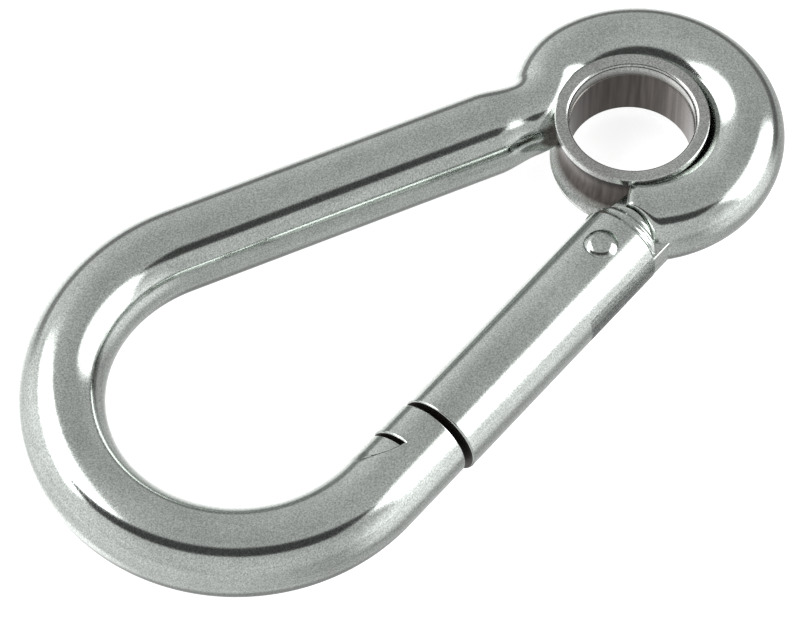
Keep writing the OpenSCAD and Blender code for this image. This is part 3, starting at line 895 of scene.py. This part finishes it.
# ---------------------------------------------------------------------------------------------
# Floor and light
# The hook lies on a pale table in a light tent: grey walls, a soft box behind the wall beyond the
# eye and another beyond the bow, and the dark slot that the lens looks through.
# ---------------------------------------------------------------------------------------------
FLOOR_HALF = 6.0
FLOOR_GAP = 0.00005
corners = [(-1, -1), (1, -1), (1, 1), (-1, 1)]
floor_mesh = bpy.data.meshes.new("floor")
floor_mesh.from_pydata(
    [(FLOOR_HALF * x, FLOOR_HALF * y, cad_low.z - FLOOR_GAP) for x, y in corners], [], [(0, 1, 2, 3)]
)
floor = bpy.data.objects.new("floor", floor_mesh)
bpy.context.scene.collection.objects.link(floor)
table_paint, table_tree = new_material("white table")
table_surface = add(
    table_tree, "ShaderNodeBsdfPrincipled", Base_Color=linear("#F2F2F2"), Roughness=0.7,
    Emission_Color=linear("#FFFFFF"), Emission_Strength=0.75,
)
add(table_tree, "ShaderNodeOutputMaterial", [("Surface", table_surface.outputs["BSDF"])])
floor_mesh.materials.append(table_paint)
floor.visible_glossy = False

world = bpy.data.worlds.new("light tent")
bpy.context.scene.world = world
world.use_nodes = True
tent = world.node_tree
tent.nodes.clear()
ray = add(tent, "ShaderNodeTexCoord").outputs["Generated"]
NEAR_ZERO = 0.02
WALL_LIGHT = 0.54
BOX_LIGHT = 3.6
SCREEN_LIGHT = 0.7


def reckon(operation, *values):
    """One step of arithmetic on numbers and sockets."""
    node = add(tent, "ShaderNodeMath", operation=operation)
    for socket, value in zip(node.inputs, values):
        if isinstance(value, (int, float)):
            socket.default_value = value
        else:
            tent.links.new(value, socket)
    return node.outputs[0]


def along(direction):
    """How far the ray points along a direction."""
    node = add(tent, "ShaderNodeVectorMath", [(0, ray)], operation="DOT_PRODUCT")
    node.inputs[1].default_value = direction
    return node.outputs["Value"]


def inside(value, half, soft):
    """1 where a value lies between -half and +half, falling smoothly to 0 over a soft edge."""
    node = add(
        tent, "ShaderNodeMapRange", [("Value", reckon("ABSOLUTE", value))], interpolation_type="SMOOTHSTEP",
        From_Min=half - soft, From_Max=half + soft, To_Min=1.0, To_Max=0.0,
    )
    return node.outputs["Result"]


def soft_box(azimuth, elevation, half_width, half_height, soft):
    """A soft-edged rectangle of tent wall, 1 inside and 0 outside. Its middle is at an azimuth, where 0 is
    +Y and 90 is +X, and an elevation; its half width and half height are in degrees, like both of those."""
    a, e = math.radians(azimuth), math.radians(elevation)
    forward = (math.sin(a) * math.cos(e), math.cos(a) * math.cos(e), math.sin(e))
    right = (math.cos(a), -math.sin(a), 0)
    up = (-math.sin(a) * math.sin(e), -math.cos(a) * math.sin(e), math.cos(e))
    ahead = reckon("MAXIMUM", along(forward), NEAR_ZERO)
    across = inside(reckon("DIVIDE", along(right), ahead), math.tan(math.radians(half_width)), soft)
    upright = inside(reckon("DIVIDE", along(up), ahead), math.tan(math.radians(half_height)), soft)
    return reckon("MULTIPLY", across, upright)


# The soft boxes beyond the eye and beyond the bow, and a pale screen low down beside the eye, which
# lights the gate's lower side
eye_box = soft_box(-61, 28, 22, 20, 0.12)
bow_box = soft_box(146, 44, 24, 16, 0.10)
low_screen = reckon("MULTIPLY", soft_box(-40, -6, 27, 26, 0.3), SCREEN_LIGHT)

# The slot is a crescent in the tent's roof, on the lens's side: its far edge curves back at both ends. Its
# place and size are measured on a roof one unit above the hook.
SLOT_LIGHT = 0.07
SLOT_BEND = 0.2
SLOT_LEAN = -0.06
SLOT_MIDDLE = 0.63
SLOT_HALF_WIDTH = 0.28
SLOT_SHIFT = 0.2
SLOT_HALF_LENGTH = 1.15
height = reckon("MAXIMUM", along((0, 0, 1)), NEAR_ZERO)
half_root = math.sqrt(0.5)
slot_along = reckon("DIVIDE", along((half_root, -half_root, 0)), height)
slot_across = reckon("DIVIDE", along((half_root, half_root, 0)), height)
curve = reckon("MULTIPLY", reckon("MULTIPLY", slot_along, slot_along), SLOT_BEND)
curve = reckon("MULTIPLY_ADD", slot_along, SLOT_LEAN, curve)
slot_mask = reckon(
    "MULTIPLY",
    inside(reckon("SUBTRACT", reckon("ADD", slot_across, curve), SLOT_MIDDLE), SLOT_HALF_WIDTH, 0.05),
    inside(reckon("SUBTRACT", slot_along, SLOT_SHIFT), SLOT_HALF_LENGTH, 0.08),
)

# The walls are paler towards the bow and the gate's side, and glow round the soft box beyond the bow
WALL_RISE = 0.2
WALL_GLOW = 0.6
walls = reckon("MULTIPLY_ADD", reckon("MAXIMUM", along((0.6, 0.8, 0)), 0), WALL_RISE, WALL_LIGHT)
glow = reckon("MAXIMUM", along((0.6, -0.8, 0)), 0)
walls = reckon("MULTIPLY_ADD", reckon("MULTIPLY", glow, glow), WALL_GLOW, walls)
boxes = reckon("MULTIPLY", reckon("ADD", eye_box, bow_box), BOX_LIGHT)
lit = reckon("ADD", reckon("ADD", walls, low_screen), boxes)
dark = reckon("MULTIPLY", reckon("SUBTRACT", SLOT_LIGHT, lit), slot_mask)
upper = reckon("ADD", lit, dark)


def ramp(value, start, end):
    """0 before a value reaches start, rising smoothly to 1 at end. Start may be the larger of the two."""
    node = add(
        tent, "ShaderNodeMapRange", [("Value", value)], interpolation_type="SMOOTHSTEP",
        From_Min=start, From_Max=end, To_Min=0.0, To_Max=1.0,
    )
    return node.outputs["Result"]


# Below the horizon the metal sees the lit table: paler towards the bow's soft box, with one bright pool
# behind the spine and one under that box, and the hook's own shade straight below. A dark line marks the
# table's far edge, on the side away from the lens.
TABLE_LIGHT = 0.72
TABLE_RISE = 0.3
SPINE_POOL = 0.6
BOW_POOL = 0.7
OWN_SHADE = -0.5
EDGE_DROP = 0.06
EDGE_HALF = 0.16
EDGE_DARK = -0.65
level = along((0, 0, 1))
table = reckon("MULTIPLY_ADD", along((0.8, -0.6, 0)), TABLE_RISE, TABLE_LIGHT)
pools = reckon("MULTIPLY", soft_box(-157, -42, 26, 20, 0.25), SPINE_POOL)
pools = reckon("MULTIPLY_ADD", soft_box(143, -57, 22, 9, 0.15), BOW_POOL, pools)
shade = reckon("MULTIPLY_ADD", ramp(level, -0.9, -0.99), OWN_SHADE, 1.0)
table = reckon("MULTIPLY", reckon("ADD", reckon("ADD", table, low_screen), pools), shade)
edge_side = ramp(along((-0.75, -0.66, 0)), 0.35, 0.6)
edge_line = reckon("MULTIPLY", inside(reckon("ADD", level, EDGE_DROP), EDGE_HALF, 0.06), edge_side)
below = ramp(level, 0.0, -0.06)
share = reckon("MULTIPLY", reckon("SUBTRACT", table, upper), below)
both = reckon("ADD", upper, share)
strength = reckon("MULTIPLY", both, reckon("MULTIPLY_ADD", edge_line, EDGE_DARK, 1.0))
tent_light = add(tent, "ShaderNodeBackground", [("Strength", strength)], Color=linear("#FFFFFF"))
plain = add(tent, "ShaderNodeBackground", Color=linear("#FFFFFF"), Strength=1.0)
seen = add(tent, "ShaderNodeLightPath").outputs["Is Camera Ray"]
shown = add(
    tent, "ShaderNodeMixShader",
    [("Fac", seen), (1, tent_light.outputs["Background"]), (2, plain.outputs["Background"])],
)
add(tent, "ShaderNodeOutputWorld", [("Surface", shown.outputs["Shader"])])
bpy.context.scene.view_settings.view_transform = "Standard"
